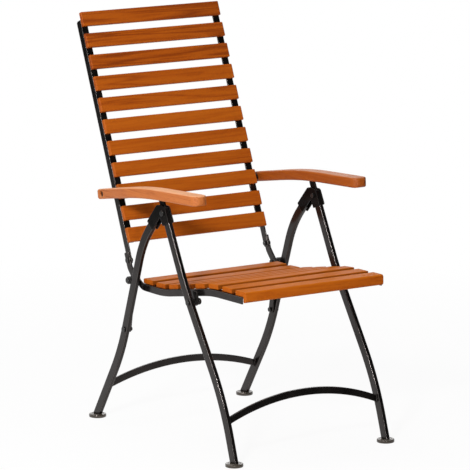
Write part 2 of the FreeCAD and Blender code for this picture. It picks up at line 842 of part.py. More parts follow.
def rack(side):
    """A notched channel that the armrest's lug slides in."""
    solid = rack_span(rack_top, arm_half, rack_inner, rack_outer, side)
    slot = rack_span(rack_top + s.rack_web, arm_half + s.rack_wall,
                     leg_plane - lug_room, leg_plane + lug_room, side)
    solid = solid.cut(slot)
    for number in range(RACK_NOTCHES):
        y = lug_top.x - s.rack_notch_ahead - number * s.rack_notch_pitch
        at = on_path(beside(arm_path, arm_half), 0, y)[0]
        notch = turned(side, floor_frame, at, [
            (rack_inner - s.rack_wall, rack_outer + s.rack_wall, s.rack_notch_radius)])
        solid = solid.cut(notch)
    return solid.Solids[0]


def inset(distance, radius):
    """How far a rounded end draws in, at a distance from its tip."""
    if distance >= radius:
        return 0
    return radius - math.sqrt(radius ** 2 - (radius - distance) ** 2)


def arm_section(at, along, from_rear, from_front, side):
    """The armrest's rounded section at one place on its path."""
    share = min(max((arm_joint.x - at.x) / s.arm_taper_length, 0), 1)
    share = share * share * (3 - 2 * share)
    inner = arm_rear_inner + (arm_inner - arm_rear_inner) * share
    outer = arm_rear_outer + (arm_outer - arm_rear_outer) * share
    rear_tip = inset(from_rear, s.arm_rear_round)
    half_wide = (outer - inner) / 2 - max(rear_tip, inset(from_front, s.arm_corner))
    half_high = arm_half - max(rear_tip, inset(from_front, s.arm_front_round))
    radius = min(s.arm_edge, EDGE_SHARE * half_high)
    loop = outline([(across * half_wide, up * half_high, radius)
                    for across, up in ((-1, -1), (1, -1), (1, 1), (-1, 1))])
    up = left_of(along) * -1
    across = Vector(1, 0, 0)
    rise = Vector(0, up.x, up.y)
    place = Vector(side * (inner + outer) / 2, at.x, at.y)
    wire = Part.Wire([curve.toShape() for curve in loop])
    wire.Placement = floor_frame.multiply(Placement(place, Rotation(across, rise, across.cross(rise))))
    return wire


def armrest(word, side):
    """A board lofted through rounded sections, closer together where its ends round off."""
    rear_y = arm_rear.x
    front_y = arm_front.x
    slope = abs(unit(arm_bend - arm_joint).x)
    rear_steps = [s.arm_rear_round * share for share in END_SHARES]
    front_steps = [s.arm_corner * share for share in END_SHARES]
    stations = [rear_y - step * slope for step in rear_steps]
    first = stations[-1]
    last = front_y + front_steps[-1]
    stations += [first + (last - first) * step / ARM_SPANS for step in range(1, ARM_SPANS)]
    stations += [front_y + step for step in reversed(front_steps)]
    sections = []
    for y in stations:
        at, along = on_path(arm_path, 0, y)
        sections.append(arm_section(at, along, (rear_y - y) / slope, y - front_y, side))
    blank = doc.addObject("Part::Feature", "armrest_%s_blank" % word)
    blank.Shape = Part.makeLoft(sections, True, True)
    bore = turned(side, floor_frame, arm_joint, [
        (arm_inner - s.arm_rear_inset, arm_bore_floor, bush_hole),
        (arm_bore_floor, arm_outer, s.head_radius + s.arm_bore_gap),
    ])
    groove = rack_span(rack_top, arm_half + s.rack_wall, rack_inner, rack_outer, side)
    return drilled("armrest_" + word, blank, [bore, groove])


for word, side in SIDES.items():
    armrest(word, side)
    group("rack_" + word, [rack(side)])
    group("arm_bolt_" + word, [turned(side, floor_frame, arm_joint, [
        (s.back_slat_half - s.back_rail_wall - s.side_gap - s.nut_height,
         s.back_slat_half - s.back_rail_wall - s.side_gap, s.nut_radius),
        (s.back_slat_half - s.back_rail_wall - s.side_gap, arm_bore_floor + s.side_gap, s.bolt_radius),
        (s.back_slat_half + s.side_gap, arm_rear_inner - s.side_gap, s.head_radius),
        (arm_bore_floor + s.side_gap, arm_bore_floor + s.side_gap + s.head_height, s.head_radius),
    ])])
    sleeve = turned(side, floor_frame, arm_joint, [(arm_rear_inner, arm_bore_floor, bush_radius)])
    core = turned(side, floor_frame, arm_joint, [(arm_inner, arm_outer, hole_radius)])
    group("arm_bush_" + word, [sleeve.cut(core)])


# Bolts, knobs and bushes

def bolt(side, frame, centre, inner, outer):
    """A round-headed bolt through pieces that lie between two distances, with its nut inside."""
    return turned(side, frame, centre, [
        (inner - s.nut_height, inner, s.nut_radius),
        (inner, outer, s.bolt_radius),
        (outer, outer + s.head_height, s.head_radius),
    ])


hub_gap = s.side_gap + s.hub_wall
axle_inner = seat_rail_outer - s.seat_rail_wall - s.side_gap
lug_face = seat_rail_outer + s.seat_lug_thickness + s.side_gap
knob_inner = leg_inner - s.link_gap + s.side_gap
knob_outer = leg_outer + s.link_gap
hub_bolts = []
link_bolts = []
seat_pivot_bolts = []
axle_bolts = []
axle_knobs = []
axle_bushes = []
strap_bolts = []
for side in SIDES.values():
    hub_bolts.append(bolt(side, floor_frame, hub, leg_inner - hub_gap, leg_outer + hub_gap))
    link_bolts.append(bolt(side, floor_frame, link_pivot, link_inner - s.side_gap, leg_outer))
    seat_pivot_bolts.append(turned(side, floor_frame, seat_pivot, [
        (lug_face, leg_inner, s.head_radius),
        (leg_inner, leg_outer, s.bolt_radius),
        (leg_outer, leg_outer + s.head_height, s.head_radius),
    ]))
    axle_bolts.append(bolt(side, floor_frame, axle, axle_inner, knob_outer))
    core = turned(side, floor_frame, axle, [(seat_rail_outer, arm_outer, hole_radius)])
    knob = turned(side, floor_frame, axle, [(knob_inner, knob_outer, s.knob_radius)])
    axle_knobs.append(knob.cut(core))
    bush = turned(side, floor_frame, axle, [
        (s.back_slat_half - s.side_gap, strap_outer + s.side_gap, bush_radius)])
    axle_bushes.append(bush.cut(core))
    strap_bolts.append(
        bolt(side, back_frame, strap_bolt, s.back_slat_half - s.back_rail_wall, strap_outer))
group("hub_bolts", hub_bolts)
group("link_bolts", link_bolts)
group("seat_pivot_bolts", seat_pivot_bolts)
group("axle_bolts", axle_bolts)
group("axle_knobs", axle_knobs)
group("axle_bushes", axle_bushes)
group("strap_bolts", strap_bolts)

# Checks, then one file for each sub-part
doc.recompute()
for item in doc.Objects:
    if "Invalid" in item.State or "Error" in item.State:
        raise RuntimeError("%s failed: %s" % (item.Label, item.State))
for item in sub_parts:
    if item.Shape.isNull() or not item.Shape.isValid() or not item.Shape.Solids:
        raise RuntimeError("%s has no valid solid" % item.Label)
os.makedirs("parts", exist_ok=True)
for item in sub_parts:
    item.Shape.exportStep("parts/%s.step" % item.Label)
whole = Part.makeCompound([item.Shape for item in sub_parts])
print("%d sub-parts, box %s" % (len(sub_parts), whole.BoundBox))
for name, pivot in (("hub", hub), ("seat pivot", seat_pivot), ("axle", axle),
                    ("link pivot", link_pivot), ("armrest", arm_joint)):
    print("%s at y %.3f, z %.3f" % (name, pivot.x - s.box_middle, pivot.y))
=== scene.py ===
import json
import math

import bmesh
import bpy
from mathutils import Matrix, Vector

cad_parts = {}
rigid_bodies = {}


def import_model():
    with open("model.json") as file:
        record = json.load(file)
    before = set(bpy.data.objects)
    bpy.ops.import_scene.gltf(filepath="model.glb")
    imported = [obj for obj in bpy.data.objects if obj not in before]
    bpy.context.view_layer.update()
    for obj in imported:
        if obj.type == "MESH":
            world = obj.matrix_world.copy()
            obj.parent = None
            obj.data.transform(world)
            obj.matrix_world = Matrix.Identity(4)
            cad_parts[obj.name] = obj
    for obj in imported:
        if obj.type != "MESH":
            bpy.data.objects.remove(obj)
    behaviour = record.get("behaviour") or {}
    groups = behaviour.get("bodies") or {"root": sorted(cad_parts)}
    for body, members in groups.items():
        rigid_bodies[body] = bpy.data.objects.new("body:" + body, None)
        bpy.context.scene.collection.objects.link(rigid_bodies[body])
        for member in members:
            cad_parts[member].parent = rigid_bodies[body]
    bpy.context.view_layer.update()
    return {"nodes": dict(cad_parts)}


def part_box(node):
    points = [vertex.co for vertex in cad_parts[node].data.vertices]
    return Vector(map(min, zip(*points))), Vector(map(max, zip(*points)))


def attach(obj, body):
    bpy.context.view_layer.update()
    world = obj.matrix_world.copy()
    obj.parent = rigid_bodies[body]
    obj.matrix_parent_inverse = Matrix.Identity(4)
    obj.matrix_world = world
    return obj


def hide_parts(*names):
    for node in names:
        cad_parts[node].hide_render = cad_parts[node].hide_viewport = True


for leftover in list(bpy.data.objects):
    bpy.data.objects.remove(leftover)
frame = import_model()
chair = frame["nodes"]

# Legs and stretchers. Oval-cornered steel tube is bent to shape, and arched flat bars are welded between
# each pair of legs. After welding all is powder coated in a warm black, semi-gloss and slightly pebbled.
# Handling rubs the coat grey along its edges, where the grey is also made paler as a painted highlight, and
# down to the metal on the corners of the tubes.
SIDES = ("right", "left")
PAINT_DEEP = (0.0026, 0.0023, 0.0022, 1)
PAINT_DUSTY = (0.0085, 0.0071, 0.0066, 1)
# Rubbed edges of the frame: worn grey, made paler than wear alone as a painted highlight along them.
PAINT_RUBBED_AND_HIGHLIT = (0.100, 0.088, 0.083, 1)
PAINT_TINT = (1.0, 0.87, 0.83, 1)
PAINT_SHEEN = 0.32
PAINT_RELIEF = 0.06
PEBBLE_DEPTH = 0.0004
PAINT_RUB_WIDTH = 0.0030
PAINT_RUB_SHARE = 0.75
CORNER_BARE = (0.085, 0.076, 0.073, 1)
CORNER_METAL = 0.8


def place(tree, kind, inputs=None, **settings):
    """A node with its settings, and its sockets set to values or linked to other nodes."""
    node = tree.nodes.new(kind)
    for name, value in settings.items():
        setattr(node, name, value)
    for socket, value in (inputs or {}).items():
        if isinstance(value, bpy.types.NodeSocket):
            tree.links.new(value, node.inputs[socket])
        else:
            node.inputs[socket].default_value = value
    return node


def calc(tree, operation, first, second=0.0, clamp=False):
    """The result of one sum on two values."""
    node = place(tree, "ShaderNodeMath", {0: first, 1: second}, operation=operation, use_clamp=clamp)
    return node.outputs[0]


def blend(tree, share, first, second):
    """One colour turning into another."""
    return place(tree, "ShaderNodeMix", {0: share, 6: first, 7: second}, data_type="RGBA").outputs[2]


def one_way(tree, direction, axis):
    """How far a direction points along one axis."""
    return place(tree, "ShaderNodeSeparateXYZ", {0: direction}).outputs[axis]


def mottle(tree, point, scale, detail=3.0, seed=0.0, distortion=0.0):
    """Smooth random patches, between 0 and 1."""
    return place(tree, "ShaderNodeTexNoise", {
        "Vector": point, "W": seed, "Scale": scale, "Detail": detail, "Distortion": distortion,
    }, noise_dimensions="4D").outputs[0]


def ease(tree, value, low, high, start=0.0, end=1.0):
    """A value spread from one span to another."""
    return place(tree, "ShaderNodeMapRange", {
        "Value": value, "From Min": low, "From Max": high, "To Min": start, "To Max": end,
    }).outputs[0]


def effect(name, inputs, outputs):
    """An empty node group with named sockets."""
    tree = bpy.data.node_groups.new(name, "ShaderNodeTree")
    for socket, kind in inputs.items():
        tree.interface.new_socket(socket, in_out="INPUT", socket_type="NodeSocket" + kind)
    for socket, kind in outputs.items():
        tree.interface.new_socket(socket, in_out="OUTPUT", socket_type="NodeSocket" + kind)
    return tree, tree.nodes.new("NodeGroupInput").outputs


def use(tree, group, **inputs):
    """A shared effect placed in a finish with its own values."""
    return place(tree, "ShaderNodeGroup", inputs, node_tree=group).outputs


def worn_edges():
    """Where a surface turns a corner, broken up as rubbing leaves it, and the way a round corner faces."""
    tree, given = effect(
        "worn_edges",
        {"Place": "Vector", "Width": "Float"},
        {"Mask": "Float", "Rounded": "Vector"},
    )
    rounded = place(tree, "ShaderNodeBevel", {"Radius": given["Width"]}, samples=8).outputs[0]
    facing = place(tree, "ShaderNodeNewGeometry").outputs["Normal"]
    compare = place(tree, "ShaderNodeVectorMath", {0: rounded, 1: facing}, operation="DOT_PRODUCT")
    turn = ease(tree, compare.outputs["Value"], low=0.995, high=0.86)
    patches = ease(tree, mottle(tree, given["Place"], scale=24.0), low=0.30, high=0.65, start=0.25)
    mask = calc(tree, "MULTIPLY", turn, patches, clamp=True)
    place(tree, "NodeGroupOutput", {"Mask": mask, "Rounded": rounded})
    return tree


def coat_pebble():
    """Powder coat: patches of dust in the colour, uneven gloss and a fine pebbled surface."""
    tree, given = effect(
        "coat_pebble",
        {"Place": "Vector", "Deep": "Color", "Dusty": "Color"},
        {"Color": "Color", "Roughness": "Float", "Height": "Float"},
    )
    where = given["Place"]
    dust = ease(tree, mottle(tree, where, scale=16.0, detail=5.0, seed=2.0), low=0.38, high=0.68)
    specks = ease(tree, mottle(tree, where, scale=420.0, detail=2.0, seed=5.0), low=0.60, high=0.74)
    soiled = calc(tree, "MAXIMUM", dust, calc(tree, "MULTIPLY", specks, 0.6))
    colour = blend(tree, soiled, given["Deep"], given["Dusty"])
    uneven = mottle(tree, where, scale=34.0, detail=4.0, seed=7.0)
    gloss = ease(tree, uneven, low=0.3, high=0.7, start=0.15, end=0.26)
    pebbles = mottle(tree, where, scale=750.0, detail=1.0, seed=3.0)
    place(tree, "NodeGroupOutput", {"Color": colour, "Roughness": gloss, "Height": pebbles})
    return tree


edges = worn_edges()
pebble = coat_pebble()


def new_finish(name):
    """A material with its shader, and the places and directions on the object's own surface."""
    material = bpy.data.materials.new(name)
    material.use_nodes = True
    tree = material.node_tree
    surface = place(tree, "ShaderNodeTexCoord").outputs
    return material, tree, tree.nodes["Principled BSDF"], surface


def raise_surface(tree, shader, height, strength, depth, rounded=None):
    """Small relief from a height, over corners that may be rounded."""
    bump = place(tree, "ShaderNodeBump", {"Height": height, "Strength": strength, "Distance": depth})
    if rounded:
        tree.links.new(rounded, bump.inputs["Normal"])
    tree.links.new(bump.outputs[0], shader.inputs["Normal"])


def tube_corners(tree, surface):
    """Where a tube turns from its side to its front or back, and the coat is worn to the metal."""
    side = calc(tree, "ABSOLUTE", one_way(tree, surface["Normal"], "X"))
    off_front = ease(tree, side, low=0.30, high=0.50)
    off_side = ease(tree, side, low=0.95, high=0.85)
    patches = ease(tree, mottle(tree, surface["Object"], scale=30.0, seed=11.0), 0.30, 0.60, start=0.45)
    return calc(tree, "MULTIPLY", calc(tree, "MULTIPLY", off_front, off_side), patches)


def powder_coat(name, deep, dusty, worn_and_highlit, relief=PAINT_RELIEF, sheen=PAINT_SHEEN, bare=None):
    """A sprayed or moulded finish with worn edges, whose colour on the frame is also a painted highlight, and
    corners that may show bare metal.
    """
    material, tree, shader, surface = new_finish(name)
    where = surface["Object"]
    coat = use(tree, pebble, Place=where, Deep=deep, Dusty=dusty)
    rubbed = use(tree, edges, Place=where, Width=PAINT_RUB_WIDTH)
    rub = calc(tree, "MULTIPLY", rubbed["Mask"], PAINT_RUB_SHARE)
    colour = blend(tree, rub, coat["Color"], worn_and_highlit)
    if bare:
        corner = tube_corners(tree, surface)
        colour = blend(tree, corner, colour, bare)
        tree.links.new(calc(tree, "MULTIPLY", corner, CORNER_METAL), shader.inputs["Metallic"])
    tree.links.new(colour, shader.inputs["Base Color"])
    tree.links.new(coat["Roughness"], shader.inputs["Roughness"])
    shader.inputs["Specular IOR Level"].default_value = sheen
    shader.inputs["Specular Tint"].default_value = PAINT_TINT
    raise_surface(tree, shader, coat["Height"], relief, PEBBLE_DEPTH, rubbed["Rounded"])
    return material


def dress(material, *names):
    """Give solids a finish."""
    for name in names:
        chair[name].data.materials.clear()
        chair[name].data.materials.append(material)


def both(*names):
    """The names of the right and left ones of pieces that come in pairs."""
    return [name + "_" + side for name in names for side in SIDES]


frame_paint = powder_coat("frame_paint", PAINT_DEEP, PAINT_DUSTY, PAINT_RUBBED_AND_HIGHLIT)
leg_paint = powder_coat("leg_paint", PAINT_DEEP, PAINT_DUSTY, PAINT_RUBBED_AND_HIGHLIT, bare=CORNER_BARE)
dress(leg_paint, *both("front_leg", "rear_leg"))
dress(frame_paint, "front_stretcher", "rear_stretcher")

# Welds. A bead of weld runs round each end of a stretcher where it meets the leg, laid in short overlapping
# ripples and coated with the frame.
BEAD_RADIUS = 0.0017
BEAD_CORNER = 0.0012
BEAD_SINK = 0.1
BEAD_RIPPLE = 0.16
RIPPLE_LENGTH = 0.0021
BEAD_STEPS = 144
BEAD_ROUND = 10
CORNER_TURNS = range(0, 91, 15)
ON_FACE = 1e-5


def rounded_loop(low, high, radius, steps):
    """Points and outward directions round a rectangle in (y, z) with rounded corners."""
    runs = []
    corners = (
        (high[0] - radius, low[1] + radius, -90), (high[0] - radius, high[1] - radius, 0),
        (low[0] + radius, high[1] - radius, 90), (low[0] + radius, low[1] + radius, 180),
    )
    for y, z, start in corners:
        for turn in CORNER_TURNS:
            angle = math.radians(start + turn)
            out = (math.cos(angle), math.sin(angle))
            runs.append((y + radius * out[0], z + radius * out[1], out))
    lengths = [0.0]
    for before, after in zip(runs, runs[1:] + runs[:1]):
        lengths.append(lengths[-1] + math.dist(before[:2], after[:2]))
    result = []
    for step in range(steps):
        along = lengths[-1] * step / steps
        index = max(i for i in range(len(runs)) if lengths[i] <= along)
        share = (along - lengths[index]) / (lengths[index + 1] - lengths[index])
        first = runs[index]
        second = runs[(index + 1) % len(runs)]
        mixed = [a + share * (b - a) for a, b in zip(first[:2], second[:2])]
        out = Vector((0, *[a + share * (b - a) for a, b in zip(first[2], second[2])])).normalized()
        result.append((mixed, out, along))
    return result


def new_piece(name, mesh, material):
    """An object from a finished mesh."""
    data = bpy.data.meshes.new(name)
    mesh.to_mesh(data)
    mesh.free()
    data.materials.append(material)
    piece = bpy.data.objects.new(name, data)
    bpy.context.scene.collection.objects.link(piece)
    return piece


def weld_bead(name, face_x, low, high, body):
    """A rippled bead in the corner between a bar's end and the leg it meets."""
    towards = -math.copysign(1, face_x)
    mesh = bmesh.new()
    rings = []
    for (y, z), out, along in rounded_loop(low, high, BEAD_CORNER, BEAD_STEPS):
        size = BEAD_RADIUS * (1 + BEAD_RIPPLE * math.cos(2 * math.pi * along / RIPPLE_LENGTH))
        ring = []
        for turn in range(BEAD_ROUND):
            angle = 2 * math.pi * turn / BEAD_ROUND
            spot = Vector((face_x, y, z)) + out * (size * math.cos(angle))
            spot.x += towards * size * max(math.sin(angle), -BEAD_SINK)
            ring.append(mesh.verts.new(spot))
        rings.append(ring)
    for ring, following in zip(rings, rings[1:] + rings[:1]):
        for a in range(BEAD_ROUND):
            b = (a + 1) % BEAD_ROUND
            mesh.faces.new((ring[a], ring[b], following[b], following[a]))
    bmesh.ops.recalc_face_normals(mesh, faces=mesh.faces)
    bead = new_piece(name, mesh, frame_paint)
    bead.data.shade_smooth()
    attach(bead, body)


for bar, body in (("front_stretcher", "front_frame"), ("rear_stretcher", "rear_frame")):
    low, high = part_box(bar)
    for side, face in zip(SIDES, (low.x, high.x)):
        end = [v.co for v in chair[bar].data.vertices if abs(v.co.x - face) < ON_FACE]
        end_low = (min(v.y for v in end), min(v.z for v in end))
        end_high = (max(v.y for v in end), max(v.z for v in end))
        weld_bead("weld_%s_%s" % (bar, side), face, end_low, end_high, body)

# Feet. Thick discs of a brown-grey plastic, turned and polished, are pressed on the cut ends of the legs.
# The rim is rounded and scuffed, and a groove runs round the raised boss on which the leg stands.
GLIDE_DEEP = (0.030, 0.026, 0.020, 1)
GLIDE_DUSTY = (0.062, 0.053, 0.041, 1)
GLIDE_SCUFFED = (0.130, 0.115, 0.092, 1)
GLIDE_RELIEF = 0.03
GLIDE_SHEEN = 0.6
GLIDE_RADIUS = 0.0236
GLIDE_STEPS = 72
SOLE_ROUND = 0.0014
SOLE_HOLLOW = 0.0008
SOLE_RADIUS = 0.0196
RIM_TOP = 0.0087
RIM_ROUND = 0.0024
RIM_FALL = 0.0001
GROOVE_RADIUS = 0.0168
GROOVE_FLOOR = 0.0077
GROOVE_LEAN = 0.0010
BOSS_RADIUS = 0.0155
BOSS_TOP = 0.0090
BOSS_LEAN = 0.0004
BOSS_ROUND = 0.0003
CREASE = math.radians(35)


def quarter_turn(middle, radius, start):
    """The rounded corner of a section, from an angle in degrees."""
    turns = [math.radians(start + turn) for turn in CORNER_TURNS]
    return [(middle[0] + radius * math.cos(turn), middle[1] + radius * math.sin(turn)) for turn in turns]


def glide_section():
    """Half of the disc's section, from the middle of its sole to the middle of its boss."""
    sole = [(0.0, SOLE_HOLLOW), (SOLE_RADIUS - SOLE_HOLLOW, SOLE_HOLLOW), (SOLE_RADIUS, 0.0)]
    rim = quarter_turn((GLIDE_RADIUS - SOLE_ROUND, SOLE_ROUND), SOLE_ROUND, -90)
    rim += quarter_turn((GLIDE_RADIUS - RIM_ROUND, RIM_TOP - RIM_ROUND), RIM_ROUND, 0)
    groove = [(GROOVE_RADIUS + GROOVE_LEAN, RIM_TOP - RIM_FALL), (GROOVE_RADIUS, GROOVE_FLOOR)]
    boss = [(BOSS_RADIUS + BOSS_LEAN, GROOVE_FLOOR), (BOSS_RADIUS, BOSS_TOP - BOSS_ROUND)]
    return sole + rim + groove + boss + [(BOSS_RADIUS - BOSS_ROUND, BOSS_TOP), (0.0, BOSS_TOP)]


def turned_foot(name, node, body):
    """A disc turned about the upright, where the solid foot is."""
    low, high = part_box(node)
    middle = (low + high) / 2
    mesh = bmesh.new()
    rings = []
    for radius, height in glide_section():
        angles = [2 * math.pi * step / GLIDE_STEPS for step in range(GLIDE_STEPS if radius else 1)]
        rings.append([
            mesh.verts.new((middle.x + radius * math.cos(a), middle.y + radius * math.sin(a), height))
            for a in angles
        ])
    for ring, following in zip(rings, rings[1:]):
        for a in range(GLIDE_STEPS):
            b = (a + 1) % GLIDE_STEPS
            corners = [ring[a % len(ring)], ring[b % len(ring)]]
            corners += [following[b % len(following)], following[a % len(following)]]
            mesh.faces.new(list(dict.fromkeys(corners)))
    bmesh.ops.recalc_face_normals(mesh, faces=mesh.faces)
    for face in mesh.faces:
        face.smooth = True
    for edge in mesh.edges:
        edge.smooth = edge.calc_face_angle() < CREASE
    disc = new_piece(name, mesh, glide)
    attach(disc, body)
    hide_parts(node)


glide = powder_coat(
    "foot_glide_plastic", GLIDE_DEEP, GLIDE_DUSTY, GLIDE_SCUFFED, relief=GLIDE_RELIEF, sheen=GLIDE_SHEEN,
)
for end, body in (("front", "front_frame"), ("rear", "rear_frame")):
    for side in SIDES:
        turned_foot("glide_%s_%s" % (end, side), "%s_foot_%s" % (end, side), body)

# Hubs. A pressed steel bracket clasps the bent top of each rear leg, and the front leg turns in it on a bolt.
# A flat lug stands on the front leg to carry the armrest. Both have a coarser, matte black coat of their own.
HUB_DEEP = (0.0026, 0.0024, 0.0022, 1)
HUB_DUSTY = (0.0070, 0.0060, 0.0054, 1)
HUB_RUBBED = (0.030, 0.026, 0.024, 1)
HUB_RELIEF = 0.20
HUB_SHEEN = 0.05

hub_paint = powder_coat("hub_paint", HUB_DEEP, HUB_DUSTY, HUB_RUBBED, relief=HUB_RELIEF, sheen=HUB_SHEEN)
dress(hub_paint, *both("hub_bracket", "arm_lug"))

# Bolts. Domed steel bolts hold the legs, the links and the seat, and let them turn.
# They are blackened and waxed, and the black wears through to bare steel on the crowns.
BOLT_DEEP = (0.012, 0.0115, 0.011, 1)
BOLT_DUSTY = (0.022, 0.021, 0.020, 1)
BOLT_BARE = (0.150, 0.144, 0.138, 1)
BOLT_RUB_WIDTH = 0.0012
BOLT_METAL_LEAST = 0.35
BOLT_METAL_MOST = 0.95
BOLT_RELIEF = 0.06
BOLT_DEPTH = 0.0003


def blackened(name):
    """Blackened steel that turns metallic where it is rubbed."""
    material, tree, shader, surface = new_finish(name)
    where = surface["Object"]
    coat = use(tree, pebble, Place=where, Deep=BOLT_DEEP, Dusty=BOLT_DUSTY)
    rubbed = use(tree, edges, Place=where, Width=BOLT_RUB_WIDTH)
    metal = ease(tree, rubbed["Mask"], 0.0, 1.0, BOLT_METAL_LEAST, BOLT_METAL_MOST)
    tree.links.new(blend(tree, rubbed["Mask"], coat["Color"], BOLT_BARE), shader.inputs["Base Color"])
    tree.links.new(metal, shader.inputs["Metallic"])
    tree.links.new(coat["Roughness"], shader.inputs["Roughness"])
    raise_surface(tree, shader, coat["Height"], BOLT_RELIEF, BOLT_DEPTH, rubbed["Rounded"])
    return material


black_bolt = blackened("black_bolt_steel")
dress(black_bolt, "hub_bolts", "link_bolts", "seat_pivot_bolts")

# Links and axle. A flat steel link on each rear leg carries the axle, on which the seat and the back turn.
# Round moulded knobs close the axle behind the legs, and nylon bushes line the straps' eyes.
KNOB_DEEP = (0.0100, 0.0098, 0.0100, 1)
KNOB_DUSTY = (0.0200, 0.0195, 0.0190, 1)
KNOB_SCUFFED = (0.045, 0.044, 0.043, 1)
KNOB_RELIEF = 0.22
NYLON_DEEP = (0.024, 0.024, 0.025, 1)
NYLON_DUSTY = (0.045, 0.045, 0.044, 1)
NYLON_SCUFFED = (0.090, 0.090, 0.088, 1)
NYLON_RELIEF = 0.04

dress(frame_paint, *both("link"))
dress(black_bolt, "axle_bolts")
dress(powder_coat("knob_plastic", KNOB_DEEP, KNOB_DUSTY, KNOB_SCUFFED, relief=KNOB_RELIEF), "axle_knobs")
nylon = powder_coat("bush_nylon", NYLON_DEEP, NYLON_DUSTY, NYLON_SCUFFED, relief=NYLON_RELIEF)
dress(nylon, "axle_bushes", *both("arm_bush"))

# Seat rails. Each is an angle of steel bent to the seat's curve, with a lug welded under it that hangs
# on the front leg's bolt.
dress(frame_paint, *both("seat_rail", "seat_lug"))

# Seat slats. Seven flat slats and a lipped nose slat of oiled hardwood are screwed to the rails from below.
# They are planed along the grain, their arrises are eased, and each is cut from another board.
# Their tops are painted lighter where they face up, as painted light, and their edges in the gaps are painted
# darker, as painted shade.
WOOD_PALE = (0.420, 0.098, 0.0050, 1)
WOOD_WARM = (0.310, 0.056, 0.0020, 1)
WOOD_DEEP = (0.160, 0.026, 0.0012, 1)
WOOD_WORN = (0.560, 0.210, 0.060, 1)
WOOD_SHEEN = 0.13
WOOD_RELIEF = 0.22
GRAIN_DEPTH = 0.0005
WOOD_RUB_WIDTH = 0.0020
WOOD_RUB_SHARE = 0.35
POLISH_ROUGHNESS = 0.28
BOARD_STEP = 3.7
TONE_LEAST = 0.30
TONE_SPREAD = 0.22
TONE_STEP = 0.618
# Painted light: a paler colour laid on the upward faces of the seat slats.
SLAT_LIT_TOP = (0.520, 0.140, 0.0050, 1)
SLAT_SHEEN = 0.06
# Painted shade: the share of the darker colour below that is laid on the slat edges in the gaps.
SLAT_GAP_SHADE = 0.5
GAP_PAINTED_SHADE = (0.045, 0.012, 0.0022, 1)


def stretch(tree, point, factors):
    """A point with each of its directions scaled."""
    return place(tree, "ShaderNodeVectorMath", {0: point, 1: factors}, operation="MULTIPLY").outputs[0]


def timber():
    """Oiled hardwood: growth bands, fibres and pores that run along the first direction."""
    tree, given = effect(
        "timber",
        {
            "Place": "Vector", "Seed": "Float", "Tone": "Float",
            "Pale": "Color", "Warm": "Color", "Deep": "Color",
        },
        {"Color": "Color", "Roughness": "Float", "Height": "Float"},
    )
    where = given["Place"]
    seed = given["Seed"]
    growth = mottle(tree, stretch(tree, where, (1.3, 34.0, 34.0)), 1.0, seed=seed, distortion=0.6)
    rings = calc(tree, "PINGPONG", calc(tree, "MULTIPLY", growth, 7.0), 0.5)
    bands = ease(tree, rings, low=0.05, high=0.5)
    fibres = mottle(tree, stretch(tree, where, (9.0, 330.0, 330.0)), 1.0, detail=4.0, seed=seed)
    other_seed = calc(tree, "ADD", seed, 9.0)
    cloud = mottle(tree, stretch(tree, where, (2.2, 12.0, 12.0)), 1.0, detail=2.0, seed=other_seed)
    pricks = mottle(tree, stretch(tree, where, (38.0, 1150.0, 1150.0)), 1.0, detail=2.0, seed=seed)
    pores = ease(tree, pricks, low=0.60, high=0.72)
    mixed = calc(tree, "ADD", calc(tree, "MULTIPLY", bands, 0.42), calc(tree, "MULTIPLY", fibres, 0.55))
    board = calc(tree, "SUBTRACT", calc(tree, "MULTIPLY", cloud, 0.8), given["Tone"])
    warmth = calc(tree, "ADD", mixed, board)
    body = blend(tree, ease(tree, warmth, low=0.05, high=0.95), given["Pale"], given["Warm"])
    streaks = calc(tree, "MULTIPLY", ease(tree, warmth, low=0.62, high=1.05), 0.75)
    streaked = blend(tree, streaks, body, given["Deep"])
    colour = blend(tree, calc(tree, "MULTIPLY", pores, 0.55), streaked, given["Deep"])
    smooth = ease(tree, fibres, low=0.3, high=0.7, start=0.44, end=0.58)
    gloss = calc(tree, "ADD", smooth, calc(tree, "MULTIPLY", pores, 0.12))
    height = calc(tree, "SUBTRACT", calc(tree, "MULTIPLY", fibres, 0.6), calc(tree, "MULTIPLY", pores, 0.8))
    place(tree, "NodeGroupOutput", {"Color": colour, "Roughness": gloss, "Height": height})
    return tree


def painted_lit_tops():
    """Painted light on a board where it faces up, in patches."""
    tree, given = effect(
        "painted_lit_tops",
        {"Place": "Vector", "Facing": "Vector", "Seed": "Float"},
        {"Mask": "Float"},
    )
    upward = ease(tree, one_way(tree, given["Facing"], "Z"), low=0.50, high=0.95)
    clouds = mottle(tree, given["Place"], scale=14.0, seed=given["Seed"])
    patches = ease(tree, clouds, low=0.25, high=0.70, start=0.45, end=0.75)
    place(tree, "NodeGroupOutput", {"Mask": calc(tree, "MULTIPLY", upward, patches)})
    return tree


def painted_gap_shade():
    """Painted shade on a slat's edge where it faces the next slat across a gap."""
    tree, given = effect(
        "painted_gap_shade",
        {"Place": "Vector", "Facing": "Vector", "Seed": "Float", "Share": "Float"},
        {"Mask": "Float"},
    )
    ahead = ease(tree, calc(tree, "ABSOLUTE", one_way(tree, given["Facing"], "Y")), low=0.35, high=0.85)
    clouds = mottle(tree, given["Place"], scale=22.0, seed=given["Seed"])
    patches = ease(tree, clouds, low=0.25, high=0.70, start=0.7)
    gap_darkening = calc(tree, "MULTIPLY", patches, given["Share"])
    place(tree, "NodeGroupOutput", {"Mask": calc(tree, "MULTIPLY", ahead, gap_darkening)})
    return tree


grain = timber()
lit_tops = painted_lit_tops()
gap_shading = painted_gap_shade()


